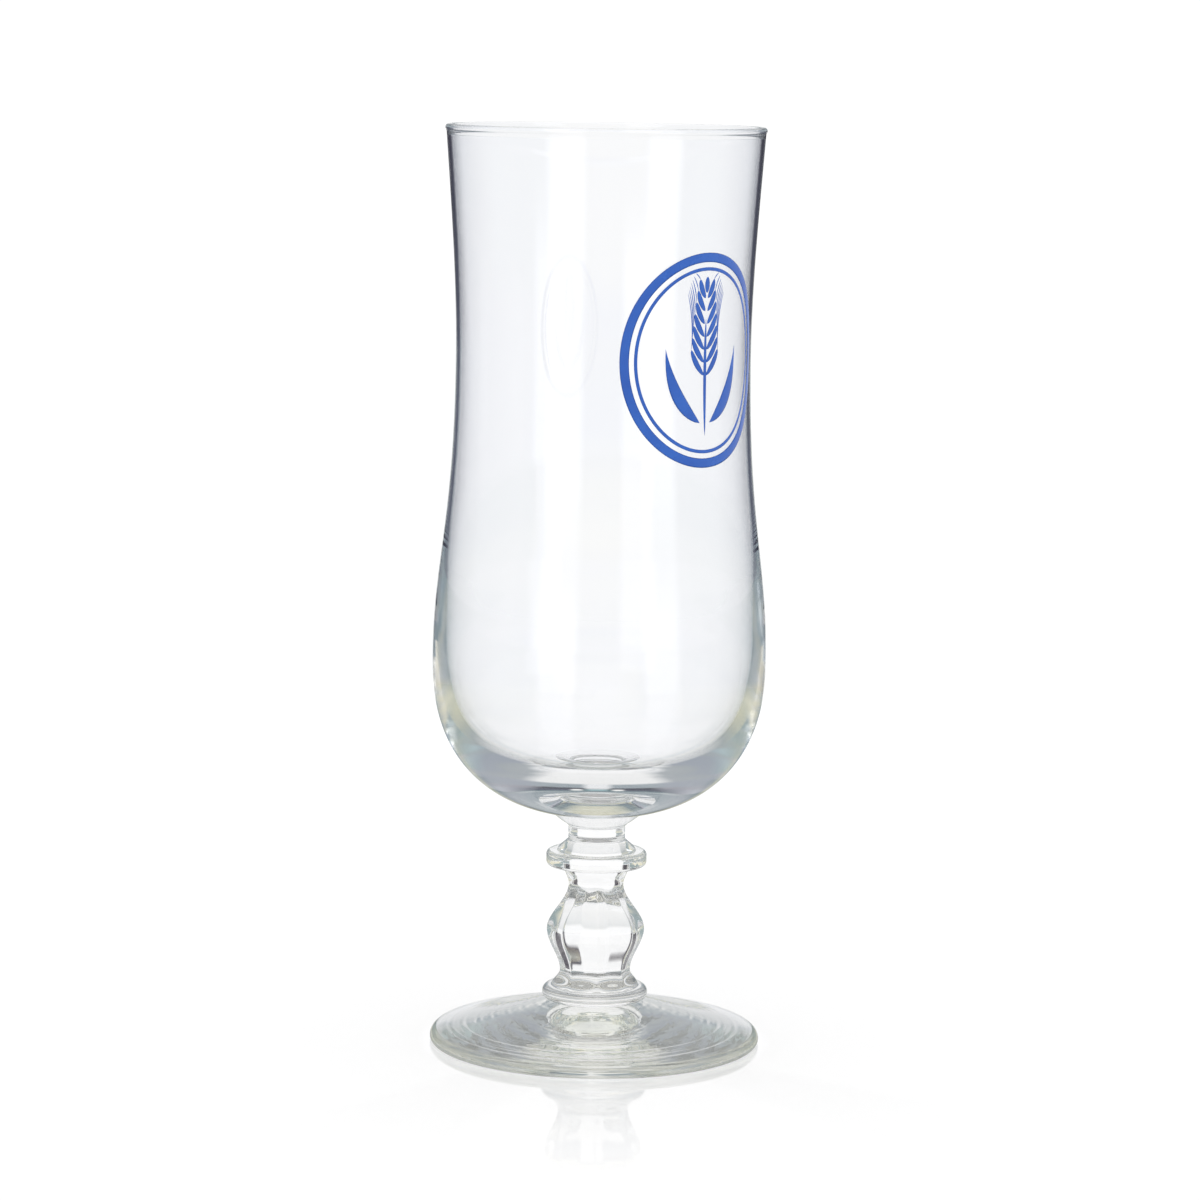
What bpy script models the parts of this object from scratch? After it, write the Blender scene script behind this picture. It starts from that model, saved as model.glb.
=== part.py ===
"""A stemmed beer glass: a tall waisted bowl on a short pressed stem, which has a flat collar and an
eight-sided knop, on a low round foot. A blue enamel print is fired onto the bowl's right front.

Metres, +Z up, the front at -Y. The origin is the middle of the face that the foot rests on. Each
member of the stack stands on the one below it, so its height comes from the sizes of those."""

import math

import bmesh
import bpy
import numpy as np

MM = 0.001
QUARTER_TURN = math.pi / 2

# The whole glass. The bowl takes what the stem leaves of its height, and its hot-joined members are
# drawn JOINT_GAP apart
GLASS_HEIGHT = 190.5 * MM
JOINT_GAP = 0.1 * MM

# Foot: a low hollow-sided cone with a rounded edge, resting on a flat ring round a domed hollow. The
# edge's round shoulder turns as far as FOOT_SHOULDER_END, then the cone starts. The hollow's powers
# say how flat its roof is and how gently it runs out into the ring
FOOT_RADIUS = 34.4 * MM
FOOT_EDGE_THICKNESS = 2.6 * MM
FOOT_LOWER_CORNER = 0.9 * MM
FOOT_SHOULDER_END = math.radians(75)
FOOT_CONE_RISE = 6.2 * MM
FOOT_CONE_POWER = 1.3
FOOT_REST_WIDTH = 3.0 * MM
FOOT_HOLLOW_DEPTH = 3.4 * MM
FOOT_HOLLOW_ROOF = 1.6
FOOT_HOLLOW_FADE = 1.4

# Foot ring: a disc with a half-round edge
RING_RADIUS = 11.0 * MM
RING_THICKNESS = 2.9 * MM

# Knop: corner radii and the rises between them, from its base up to the collar. Its flats fade out
# over KNOP_FADE below its slim end
KNOP_SIDES = 8
KNOP_TURN = math.radians(3.5)
KNOP_BASE_RADIUS = 9.0 * MM
KNOP_BASE_RISE = 3.0 * MM
KNOP_WAIST_RADIUS = 7.4 * MM
KNOP_LOWER_RISE = 8.8 * MM
KNOP_BELLY_RADIUS = 10.3 * MM
KNOP_UPPER_RISE = 9.6 * MM
KNOP_FADE = 2.4 * MM
KNOP_NECK_RADIUS = 5.7 * MM
KNOP_TOP_RISE = 3.9 * MM
KNOP_TOP_RADIUS = 6.9 * MM

# Collar: a flat disc with softened corners
COLLAR_RADIUS = 10.5 * MM
COLLAR_THICKNESS = 3.0 * MM
COLLAR_CORNER = 0.9 * MM

# Neck: a waisted spool
NECK_BASE_RADIUS = 8.2 * MM
NECK_LOWER_RISE = 2.8 * MM
NECK_RADIUS = 5.9 * MM
NECK_STRAIGHT = 1.4 * MM
NECK_UPPER_RISE = 1.6 * MM
NECK_TOP_RADIUS = 6.5 * MM

# Bowl wafer: a shallow button that spreads from the neck to the bowl's seat
WAFER_THICKNESS = 2.4 * MM
WAFER_SWELL = 1.2
SEAT_RADIUS = 9.8 * MM

# Bowl: outer radii and rises from its seat, then its lip and walls. The pulls say how far along a
# rise the curve stays upright at its lower and upper end. The lip is a round bead that wraps
# LIP_WRAP below its middle on both sides
BELLY_RISE = 32.3 * MM
BELLY_RADIUS = 34.5 * MM
BELLY_FULLNESS = 2.4
SWELL_PULLS = (0.32, 0.56)
WAIST_RADIUS = 30.25 * MM
FLARE_RISE = 45.4 * MM
FLARE_PULLS = (0.36, 0.27)
FLARE_SLOPE = 0.07
RIM_RADIUS = 32.8 * MM
LIP_RADIUS = 0.7 * MM
LIP_WRAP = math.radians(25)
RIM_WALL = 0.9 * MM
WAIST_WALL = 0.75 * MM
BELLY_WALL = 2.4 * MM
INNER_BELLY_LIFT = 11.0 * MM
FLOOR_THICKNESS = 8.4 * MM
FLOOR_FULLNESS = 3.3

# Print: an oval band and a fine line round an ear of barley with two leaves, all placed from the
# print's middle, which lies PRINT_RISE above the bowl's waist
PRINT_TURN = math.radians(42)
PRINT_RISE = 0.2 * MM
PRINT_GAP = 0.1 * MM
PRINT_THICKNESS = 0.2 * MM
BAND_HALF_WIDTH = 19.0 * MM
BAND_HALF_HEIGHT = 21.5 * MM
BAND_LINE = 1.9 * MM
LINE_GAP = 1.0 * MM
LINE_WIDTH = 0.7 * MM
EAR_MARGIN = 2.9 * MM
EAR_STALK = 12.0 * MM
EAR_GRAINS = 7
STALK_HALF_WIDTH = 0.5 * MM
EAR_CORE = 0.8 * MM
GRAIN_REACH = 2.8 * MM
GRAIN_LEAN = 0.8
GRAIN_NOTCH = 0.05 * MM
LEAF_GAP = 0.8 * MM
LEAF_FOOT = 2.5 * MM
LEAF_RISE = 15.0 * MM
LEAF_BEND = 4.0 * MM
LEAF_HOOK = 1.3 * MM
LEAF_HALF_WIDTH = 1.3 * MM
TIP_HALF_WIDTH = 0.1 * MM

# Facets
WIDE_SEGMENTS = 48
STEM_SEGMENTS = 32
KNOP_FACE_STEPS = 4
CORNER_STEPS = 4
EDGE_STEPS = 10
CONE_STEPS = 6
STEM_STEPS = 5
BASE_STEPS = 10
SWELL_STEPS = 8
FLARE_STEPS = 6
LIP_STEPS = 8
BAND_STEPS = 60
GRAIN_STEPS = 4
GRAIN_COLUMNS = 5
LEAF_STEPS = 10
MERGE_DISTANCE = 0.001 * MM
SHARP_ANGLE = math.radians(35)

# Finishes
CLEAR_GLASS = (0.90, 0.94, 0.93)
GLASS_ROUGHNESS = 0.03
GLASS_IOR = 1.52
BLUE_ENAMEL = (0.01, 0.09, 0.62)
ENAMEL_ROUGHNESS = 0.25


def smooth_between(start, end, steps):
    """Points from start to end, (radius, height) each, upright at both ends; the start is left out."""
    share = np.arange(1, steps + 1) / steps
    ease = share * share * (3 - 2 * share)
    radii = start[0] + (end[0] - start[0]) * ease
    heights = start[1] + (end[1] - start[1]) * share
    return list(zip(radii, heights))


def bezier(start, first, second, end, steps):
    """Points along a cubic Bezier curve, without its start."""
    share = np.arange(1, steps + 1)[:, None] / steps
    rest = 1 - share
    curve = rest**3 * np.array(start) + 3 * rest**2 * share * np.array(first)
    curve += 3 * rest * share**2 * np.array(second) + share**3 * np.array(end)
    return [tuple(point) for point in curve]


def arc(centre, radius, start, end, steps):
    """Points on a circle from one angle to another, both from straight outwards, ends included."""
    angles = np.linspace(start, end, steps + 1)
    return [(centre[0] + radius * math.cos(a), centre[1] + radius * math.sin(a)) for a in angles]


def clear(scene_objects):
    for old in list(scene_objects):
        scene_objects.remove(old, do_unlink=True)


def finish(name, colour, roughness):
    """A material of its own for one piece."""
    material = bpy.data.materials.new(f"{name}_finish")
    material.use_nodes = True
    shader = material.node_tree.nodes["Principled BSDF"]
    shader.inputs["Base Color"].default_value = (*colour, 1)
    shader.inputs["Roughness"].default_value = roughness
    shader.inputs["Metallic"].default_value = 0
    return material, shader


def placed(name, shape, carrier, seat, material):
    """Turns a bmesh into a named object that stands at the height seat above its carrier's origin."""
    bmesh.ops.remove_doubles(shape, verts=shape.verts, dist=MERGE_DISTANCE)
    bmesh.ops.recalc_face_normals(shape, faces=shape.faces)
    mesh = bpy.data.meshes.new(name)
    shape.to_mesh(mesh)
    shape.free()
    mesh.shade_smooth()
    mesh.set_sharp_from_angle(angle=SHARP_ANGLE)
    mesh.materials.append(material)
    piece = bpy.data.objects.new(name, mesh)
    bpy.context.collection.objects.link(piece)
    piece.parent = carrier
    piece.location.z = seat
    return piece


def glass(name):
    material, shader = finish(name, CLEAR_GLASS, GLASS_ROUGHNESS)
    shader.inputs["Transmission Weight"].default_value = 1
    shader.inputs["IOR"].default_value = GLASS_IOR
    return material


def turned(name, outline, segments, carrier, seat):
    """Spins an outline of (radius, height) points, from the axis below to the axis above, into a solid."""
    shape = bmesh.new()
    points = [shape.verts.new((radius, 0, height)) for radius, height in outline]
    edges = [shape.edges.new(pair) for pair in zip(points, points[1:])]
    bmesh.ops.spin(
        shape, geom=points + edges, cent=(0, 0, 0), axis=(0, 0, 1),
        angle=math.tau, steps=segments, use_merge=True,
    )
    return placed(name, shape, carrier, seat, glass(name))


def foot_outline():
    """The hollow, the resting ring, the edge's small lower and large upper corner, and the cone."""
    rest_outer = FOOT_RADIUS - FOOT_LOWER_CORNER
    rest_inner = rest_outer - FOOT_REST_WIDTH
    shares = np.linspace(0, 1, CONE_STEPS + 1)
    rises = FOOT_HOLLOW_DEPTH * (1 - shares**FOOT_HOLLOW_ROOF) ** FOOT_HOLLOW_FADE
    hollow = list(zip(rest_inner * shares, rises))
    lower = arc((rest_outer, FOOT_LOWER_CORNER), FOOT_LOWER_CORNER, -QUARTER_TURN, 0, CORNER_STEPS)
    shoulder = FOOT_EDGE_THICKNESS - FOOT_LOWER_CORNER
    middle = (FOOT_RADIUS - shoulder, FOOT_LOWER_CORNER)
    upper = arc(middle, shoulder, 0, FOOT_SHOULDER_END, CORNER_STEPS)
    cone_radius, cone_height = upper[-1]
    reach = cone_radius - ring_seat_radius()
    rise = foot_height() - cone_height
    cone = [(cone_radius - reach * s, cone_height + rise * s**FOOT_CONE_POWER) for s in shares]
    return hollow + lower + upper[1:] + cone[1:] + [(0, foot_height())]


def foot_height():
    return FOOT_EDGE_THICKNESS + FOOT_CONE_RISE


def ring_seat_radius():
    """Radius of the ring's flat faces, where its half-round edge begins."""
    return RING_RADIUS - RING_THICKNESS / 2


def ring_outline():
    half = RING_THICKNESS / 2
    edge = arc((ring_seat_radius(), half), half, -QUARTER_TURN, QUARTER_TURN, EDGE_STEPS)
    return [(0, 0)] + edge + [(0, RING_THICKNESS)]


def knop_rings():
    """(corner radius, height) up the knop, and how far each ring is an octagon rather than round."""
    waist = KNOP_BASE_RISE
    belly = waist + KNOP_LOWER_RISE
    neck = belly + KNOP_UPPER_RISE
    top = neck + KNOP_TOP_RISE
    rings = [(KNOP_BASE_RADIUS, 0)]
    rings += smooth_between(rings[-1], (KNOP_WAIST_RADIUS, waist), STEM_STEPS)
    rings += smooth_between(rings[-1], (KNOP_BELLY_RADIUS, belly), STEM_STEPS)
    rings += smooth_between(rings[-1], (KNOP_NECK_RADIUS, neck), STEM_STEPS)
    rings += smooth_between(rings[-1], (KNOP_TOP_RADIUS, top), STEM_STEPS)
    radii, heights = np.array(rings).T
    rounding_ends = (0, waist, neck - KNOP_FADE, neck)
    flatness = np.interp(heights, rounding_ends, (0, 1, 1, 0))
    return radii, heights, flatness


def knop_shape():
    """Lofts the rings: a facet's point lies on its chord where the ring is an octagon, on the circle
    where it is round."""
    radii, heights, flatness = knop_rings()
    columns = KNOP_SIDES * KNOP_FACE_STEPS
    side = math.tau / KNOP_SIDES
    across = np.arange(columns) * math.tau / columns
    from_middle = across % side - side / 2
    chord = math.cos(side / 2) / np.cos(from_middle)
    shape = bmesh.new()
    loops = []
    for radius, height, flat in zip(radii, heights, flatness):
        reach = radius * (1 + (chord - 1) * flat)
        turn = across + KNOP_TURN
        ring = zip(reach * np.sin(turn), -reach * np.cos(turn))
        loops.append([shape.verts.new((x, y, height)) for x, y in ring])
    for low, high in zip(loops, loops[1:]):
        for i in range(columns):
            shape.faces.new((low[i - 1], low[i], high[i], high[i - 1]))
    shape.faces.new(loops[0])
    shape.faces.new(loops[-1])
    return shape


def knop_height():
    return KNOP_BASE_RISE + KNOP_LOWER_RISE + KNOP_UPPER_RISE + KNOP_TOP_RISE


def collar_outline():
    inset = COLLAR_RADIUS - COLLAR_CORNER
    lower = arc((inset, COLLAR_CORNER), COLLAR_CORNER, -QUARTER_TURN, 0, CORNER_STEPS)
    upper_middle = (inset, COLLAR_THICKNESS - COLLAR_CORNER)
    upper = arc(upper_middle, COLLAR_CORNER, 0, QUARTER_TURN, CORNER_STEPS)
    return [(0, 0)] + lower + upper + [(0, COLLAR_THICKNESS)]


def neck_outline():
    straight_top = NECK_LOWER_RISE + NECK_STRAIGHT
    side = [(NECK_BASE_RADIUS, 0)]
    side += smooth_between(side[-1], (NECK_RADIUS, NECK_LOWER_RISE), STEM_STEPS)
    side += [(NECK_RADIUS, straight_top)]
    side += smooth_between(side[-1], (NECK_TOP_RADIUS, neck_height()), STEM_STEPS)
    return [(0, 0)] + side + [(0, neck_height())]


def neck_height():
    return NECK_LOWER_RISE + NECK_STRAIGHT + NECK_UPPER_RISE


def wafer_outline():
    """A slightly swelling cone that spreads from the neck's top to the bowl's seat."""
    spread = SEAT_RADIUS - NECK_TOP_RADIUS
    shares = np.linspace(0, 1, CONE_STEPS + 1)
    side = [(NECK_TOP_RADIUS + spread * s, WAFER_THICKNESS * s**WAFER_SWELL) for s in shares]
    return [(0, 0)] + side + [(0, WAFER_THICKNESS)]


def rounded_base(radius, widest, lowest, fullness, end_radius):
    """A superellipse from end_radius at the height lowest out to the radius at the height widest."""
    end_share = (end_radius / radius) ** fullness
    depth = (widest - lowest) / (1 - end_share) ** (1 / fullness)
    last = math.acos(math.sqrt(end_share))
    angles = np.linspace(last, 0, BASE_STEPS + 1)
    power = 2 / fullness
    return [
        (radius * math.cos(a) ** power, widest - depth * math.sin(a) ** power) for a in angles
    ]


def seats():
    """Height of each member's lower face above what the foot rests on."""
    thicknesses = {
        "foot": foot_height(),
        "foot_ring": RING_THICKNESS,
        "knop": knop_height(),
        "collar": COLLAR_THICKNESS,
        "neck": neck_height(),
        "bowl_wafer": WAFER_THICKNESS,
    }
    found = {}
    height = 0
    for name, thickness in thicknesses.items():
        found[name] = height
        height += thickness + JOINT_GAP
    found["bowl"] = height
    return found


def waist_height():
    """Height of the waist above the bowl's seat."""
    return GLASS_HEIGHT - seats()["bowl"] - LIP_RADIUS - FLARE_RISE


def bowl_side(belly, waist, rim, base):
    """From a base up through the belly's swell and the waist to the flared rim, (radius, height) each."""
    lower, upper = np.array(SWELL_PULLS) * (waist[1] - belly[1])
    swell = bezier(
        belly, (belly[0], belly[1] + lower), (waist[0], waist[1] - upper), waist, SWELL_STEPS,
    )
    lower, upper = np.array(FLARE_PULLS) * (rim[1] - waist[1])
    flare = bezier(
        waist, (waist[0], waist[1] + lower), (rim[0] - FLARE_SLOPE * upper, rim[1] - upper), rim,
        FLARE_STEPS,
    )
    return base + swell + flare


def bowl_outer():
    """The outer face from the seat to just under the lip."""
    belly = (BELLY_RADIUS, BELLY_RISE)
    waist = (WAIST_RADIUS, waist_height())
    rim = (lip_middle()[0] + RIM_WALL / 2, lip_middle()[1] - LIP_RADIUS)
    base = rounded_base(BELLY_RADIUS, BELLY_RISE, 0, BELLY_FULLNESS, SEAT_RADIUS)
    return bowl_side(belly, waist, rim, base)


def bowl_inner():
    """The inner face from the middle of the floor to just under the lip."""
    belly = (BELLY_RADIUS - BELLY_WALL, BELLY_RISE + INNER_BELLY_LIFT)
    waist = (WAIST_RADIUS - WAIST_WALL, waist_height())
    rim = (lip_middle()[0] - RIM_WALL / 2, lip_middle()[1] - LIP_RADIUS)
    base = rounded_base(belly[0], belly[1], FLOOR_THICKNESS, FLOOR_FULLNESS, 0)
    return bowl_side(belly, waist, rim, base)


def lip_middle():
    """The centre of the fire-polished bead, whose outside is the rim's radius."""
    return RIM_RADIUS - LIP_RADIUS, waist_height() + FLARE_RISE


def bowl_outline():
    lip = arc(lip_middle(), LIP_RADIUS, -LIP_WRAP, math.pi + LIP_WRAP, LIP_STEPS)
    return [(0, 0)] + bowl_outer() + lip + bowl_inner()[::-1]


def on_bowl(across, up, lift):
    """A point lift above the bowl's outer face, across along its girth and up from the print's middle."""
    radii, heights = np.array(bowl_outer()).T
    height = waist_height() + PRINT_RISE + up
    reach = np.interp(height, heights, radii) + lift
    turn = PRINT_TURN + across / WAIST_RADIUS
    return reach * math.sin(turn), -reach * math.cos(turn), height


def printed(name, rows, closed, carrier, seat):
    """A thin layer on the bowl. Each row crosses it with (across, up) points; rows follow its length."""
    shape = bmesh.new()
    lifts = (PRINT_GAP, PRINT_GAP + PRINT_THICKNESS)
    under, over = (
        [[shape.verts.new(on_bowl(*point, lift)) for point in row] for row in rows] for lift in lifts
    )
    first = 0 if closed else 1
    last = len(rows[0]) - 1
    for i in range(first, len(rows)):
        for layer in (under, over):
            for j in range(last):
                shape.faces.new((layer[i - 1][j], layer[i][j], layer[i][j + 1], layer[i - 1][j + 1]))
        for j in (0, last):
            shape.faces.new((under[i - 1][j], under[i][j], over[i][j], over[i - 1][j]))
    for i in () if closed else (0, -1):
        for j in range(last):
            shape.faces.new((under[i][j], under[i][j + 1], over[i][j + 1], over[i][j]))
    material, _ = finish(name, BLUE_ENAMEL, ENAMEL_ROUGHNESS)
    return placed(name, shape, carrier, seat, material)


def line_inset():
    """From the band's outer edge in to the fine line's."""
    return BAND_LINE + LINE_GAP


def oval_rows(inset, width):
    """Rows across an oval line whose outer edge lies inset from the band's."""
    rows = []
    for angle in np.arange(BAND_STEPS) * math.tau / BAND_STEPS:
        edges = np.array((inset, inset + width))
        across = (BAND_HALF_WIDTH - edges) * math.sin(angle)
        rows.append(list(zip(across, (BAND_HALF_HEIGHT - edges) * math.cos(angle))))
    return rows


def ear_foot():
    """The stalk's foot, below the print's middle by the field inside the fine line, less its margin."""
    return EAR_MARGIN + line_inset() + LINE_WIDTH - BAND_HALF_HEIGHT


def ear_rows():
    """A stalk, then pairs of grains. A row is a V, so each grain spreads outwards and up from the core
    to its point, and the grains shorten towards the tip."""
    head = ear_foot() + EAR_STALK
    pitch = (-ear_foot() - head) / EAR_GRAINS
    ribs = [(STALK_HALF_WIDTH, ear_foot()), (STALK_HALF_WIDTH, head - GRAIN_NOTCH)]
    for grain in range(EAR_GRAINS):
        reach = GRAIN_REACH * math.sqrt(1 - grain / EAR_GRAINS)
        for share in np.linspace(0, 1, GRAIN_STEPS + 1):
            width = EAR_CORE + reach * math.sin(share * math.pi / 2)
            ribs.append((width, head + grain * pitch + share * (pitch - GRAIN_NOTCH)))
    ribs.append((TIP_HALF_WIDTH, head + EAR_GRAINS * pitch))
    rows = []
    for width, up in ribs:
        across = width * np.linspace(-1, 1, GRAIN_COLUMNS)
        rows.append(list(zip(across, up + abs(across) * GRAIN_LEAN)))
    return rows


def leaf_rows(side):
    """A blade along a quadratic curve, widest in its middle, on one side of the stalk. Its tip stands
    midway between the ear's grains and the fine line."""
    field = BAND_HALF_WIDTH - line_inset() - LINE_WIDTH
    reach = (EAR_CORE + GRAIN_REACH + field) / 2
    foot = ear_foot() + LEAF_FOOT
    start = np.array((side * (STALK_HALF_WIDTH + LEAF_GAP), foot))
    bend = np.array((side * (reach - LEAF_HOOK), foot + LEAF_BEND))
    tip = np.array((side * reach, foot + LEAF_RISE))
    rows = []
    for share in np.linspace(0, 1, LEAF_STEPS + 1):
        middle = (1 - share) ** 2 * start + 2 * share * (1 - share) * bend + share**2 * tip
        heading = 2 * (1 - share) * (bend - start) + 2 * share * (tip - bend)
        across = np.array((-heading[1], heading[0])) / np.linalg.norm(heading)
        width = TIP_HALF_WIDTH + LEAF_HALF_WIDTH * math.sin(math.pi * share)
        rows.append([tuple(middle + across * width * edge) for edge in (-1, 0, 1)])
    return rows


def build():
    clear(bpy.data.objects)
    carrier = bpy.data.objects.new("beer_glass", None)
    bpy.context.collection.objects.link(carrier)

    seat = seats()
    turned("foot", foot_outline(), WIDE_SEGMENTS, carrier, seat["foot"])
    turned("foot_ring", ring_outline(), STEM_SEGMENTS, carrier, seat["foot_ring"])
    placed("knop", knop_shape(), carrier, seat["knop"], glass("knop"))
    turned("collar", collar_outline(), STEM_SEGMENTS, carrier, seat["collar"])
    turned("neck", neck_outline(), STEM_SEGMENTS, carrier, seat["neck"])
    turned("bowl_wafer", wafer_outline(), STEM_SEGMENTS, carrier, seat["bowl_wafer"])
    turned("bowl", bowl_outline(), WIDE_SEGMENTS, carrier, seat["bowl"])

    printed("print_band", oval_rows(0, BAND_LINE), True, carrier, seat["bowl"])
    printed("print_inner_line", oval_rows(line_inset(), LINE_WIDTH), True, carrier, seat["bowl"])
    printed("print_ear", ear_rows(), False, carrier, seat["bowl"])
    printed("print_leaf_left", leaf_rows(-1), False, carrier, seat["bowl"])
    printed("print_leaf_right", leaf_rows(1), False, carrier, seat["bowl"])


build()
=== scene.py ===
import bmesh
import bpy
import numpy as np
from mathutils import Euler, Matrix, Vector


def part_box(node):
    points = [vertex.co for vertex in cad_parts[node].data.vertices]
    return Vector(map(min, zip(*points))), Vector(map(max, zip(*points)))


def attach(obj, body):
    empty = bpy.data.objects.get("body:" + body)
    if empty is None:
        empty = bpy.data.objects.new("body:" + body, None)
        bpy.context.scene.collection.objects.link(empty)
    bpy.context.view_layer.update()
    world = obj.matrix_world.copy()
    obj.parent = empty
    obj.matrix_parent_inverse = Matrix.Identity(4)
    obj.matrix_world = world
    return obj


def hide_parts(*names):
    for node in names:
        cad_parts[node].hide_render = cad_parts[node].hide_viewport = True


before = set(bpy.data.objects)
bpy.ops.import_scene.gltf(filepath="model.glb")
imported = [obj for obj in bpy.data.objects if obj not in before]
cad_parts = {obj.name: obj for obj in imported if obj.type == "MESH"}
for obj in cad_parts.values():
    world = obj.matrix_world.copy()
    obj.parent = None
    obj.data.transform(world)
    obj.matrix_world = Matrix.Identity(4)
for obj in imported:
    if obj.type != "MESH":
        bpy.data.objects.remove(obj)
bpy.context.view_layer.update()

# Foot
# A low cone of clear soda-lime glass, pressed hot and then spun, so that fine rings stay in its upper
# side. It stands on a flat ring round a shallow hollow, and the foot ring is fused to its flat top.
MM = 0.001
COLUMNS = 256
FLAT_STEPS = 4
HOLLOW_STEPS = 48
CONE_STEPS = 160
turns = np.linspace(0, 2 * np.pi, COLUMNS, endpoint=False)
same_place = 1e-7
glass_index = 1.52
skin_waves = 90
skin_strength = 0.04
skin_depth = 0.2 * MM
iron_tint = (0.78, 0.82, 0.48, 1)
pressed_tint = (0.990, 0.992, 0.998)
foot_iron = 2


def straight(start, end, steps):
    """Evenly spaced points on the line from start to end, (radius, height) each."""
    return np.linspace(start, end, steps + 1)


def rounded(middle, radius, first, last, steps):
    """Points on a circle: middle plus radius along (cosine, sine) of an angle from first to last, in
    degrees."""
    angle = np.radians(np.linspace(first, last, steps + 1))
    return np.array(middle) + radius * np.stack([np.cos(angle), np.sin(angle)], axis=1)


def outline(*runs):
    """Runs of points one after another, each point that repeats the one before it left out."""
    points = np.concatenate(runs)
    step = np.linalg.norm(np.diff(points, axis=0), axis=1)
    return points[np.concatenate([[True], step > same_place])]


def turned(points):
    """Radius and height of every outline point at every angle round the axis, as two grids."""
    return tuple(np.repeat(column[:, None], COLUMNS, axis=1) for column in points.T)


def fused(points, below, above):
    """True for each band between outline points that lies inside a hot joint: in the lowest level out to
    the radius below, or in the highest level out to the radius above."""
    reach, level = points.T
    low = np.isclose(level, level.min(), atol=same_place) & (reach < below + same_place)
    high = np.isclose(level, level.max(), atol=same_place) & (reach < above + same_place)
    return (low[:-1] & low[1:]) | (high[:-1] & high[1:])


def lathe_mesh(name, reach, level, joint):
    """A closed skin: x = radius times sine of the angle, y = minus radius times cosine, z = height. The
    first and last row are single points on the axis. Bands inside a joint take the second material, and
    the rims between the two materials are creased."""
    rows = len(reach)
    grid = np.stack([reach * np.sin(turns), -reach * np.cos(turns), level], axis=2)
    points = np.concatenate([grid[1:-1].reshape(-1, 3), grid[[0, -1], 0]])
    here = np.arange(COLUMNS)
    there = np.roll(here, -1)
    row = np.arange(rows - 3)[:, None] * COLUMNS
    sides = np.stack([row + here, row + there, row + COLUMNS + there, row + COLUMNS + here], axis=2)
    last = (rows - 3) * COLUMNS
    low_pole = np.full(COLUMNS, len(points) - 2)
    bottom = np.stack([low_pole, there, here], axis=1)
    top = np.stack([last + here, last + there, low_pole + 1], axis=1)
    faces = bottom.tolist() + sides.reshape(-1, 4).tolist() + top.tolist()
    mesh = bpy.data.meshes.new(name)
    mesh.from_pydata(points.tolist(), [], faces)
    mesh.shade_smooth()
    mesh.polygons.foreach_set("material_index", np.repeat(joint, COLUMNS).astype(np.int32))
    edge_ends = np.empty(2 * len(mesh.edges), dtype=np.int32)
    mesh.edges.foreach_get("vertices", edge_ends)
    rings = edge_ends.reshape(-1, 2) // COLUMNS
    joint_rims = np.flatnonzero(joint[1:] != joint[:-1])
    creased = (rings[:, 0] == rings[:, 1]) & np.isin(rings[:, 0], joint_rims)
    mesh.attributes.new("sharp_edge", "BOOLEAN", "EDGE").data.foreach_set("value", creased)
    return mesh


def add_node(tree, kind, sockets, **settings):
    """A shader node with its settings; a socket given an output is linked to it, any other value is set."""
    made = tree.nodes.new(kind)
    for key, value in settings.items():
        setattr(made, key, value)
    for key, value in sockets.items():
        if isinstance(value, bpy.types.NodeSocket):
            tree.links.new(value, made.inputs[key])
        else:
            made.inputs[key].default_value = value
    return made


def new_material(name):
    """A material with its node tree and its main shader."""
    material = bpy.data.materials.new(name)
    material.use_nodes = True
    return material, material.node_tree, material.node_tree.nodes["Principled BSDF"]


def clear_glass(name, tint, iron):
    """Fire-polished soda-lime glass, its skin faintly wavy as it left the mould. The trace of iron in thick
    glass greens the light, by a density per metre."""
    material, tree, shader = new_material(name)
    shader.inputs["Base Color"].default_value = (*tint, 1)
    shader.inputs["Roughness"].default_value = 0
    shader.inputs["IOR"].default_value = glass_index
    shader.inputs["Transmission Weight"].default_value = 1
    place = add_node(tree, "ShaderNodeTexCoord", {}).outputs["Object"]
    wave = add_node(tree, "ShaderNodeTexNoise", {"Vector": place, "Scale": skin_waves, "Detail": 2})
    bump = add_node(
        tree, "ShaderNodeBump",
        {"Height": wave.outputs["Fac"], "Strength": skin_strength, "Distance": skin_depth},
    )
    tree.links.new(bump.outputs["Normal"], shader.inputs["Normal"])
    if iron:
        melt = add_node(tree, "ShaderNodeVolumeAbsorption", {"Color": iron_tint, "Density": iron})
        tree.links.new(melt.outputs["Volume"], tree.nodes["Material Output"].inputs["Volume"])
    return material


def fused_joint():
    """Inside a joint two members are one melt, so its faces are not seen at all."""
    material, _, shader = new_material("Fused joint")
    shader.inputs["Alpha"].default_value = 0
    return material


foot_glass = clear_glass("Foot glass", pressed_tint, foot_iron)
clear = clear_glass("Stem glass", pressed_tint, 0)
joint_face = fused_joint()


def glass_piece(name, node, glass, reach, level, joint):
    """A member of the glass, turned from its grids of radius and height, in place of a node of the CAD."""
    mesh = lathe_mesh(name, reach, level, joint)
    mesh.materials.append(glass)
    mesh.materials.append(joint_face)
    piece = bpy.data.objects.new(name, mesh)
    bpy.context.collection.objects.link(piece)
    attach(piece, "root")
    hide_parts(node)


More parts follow.
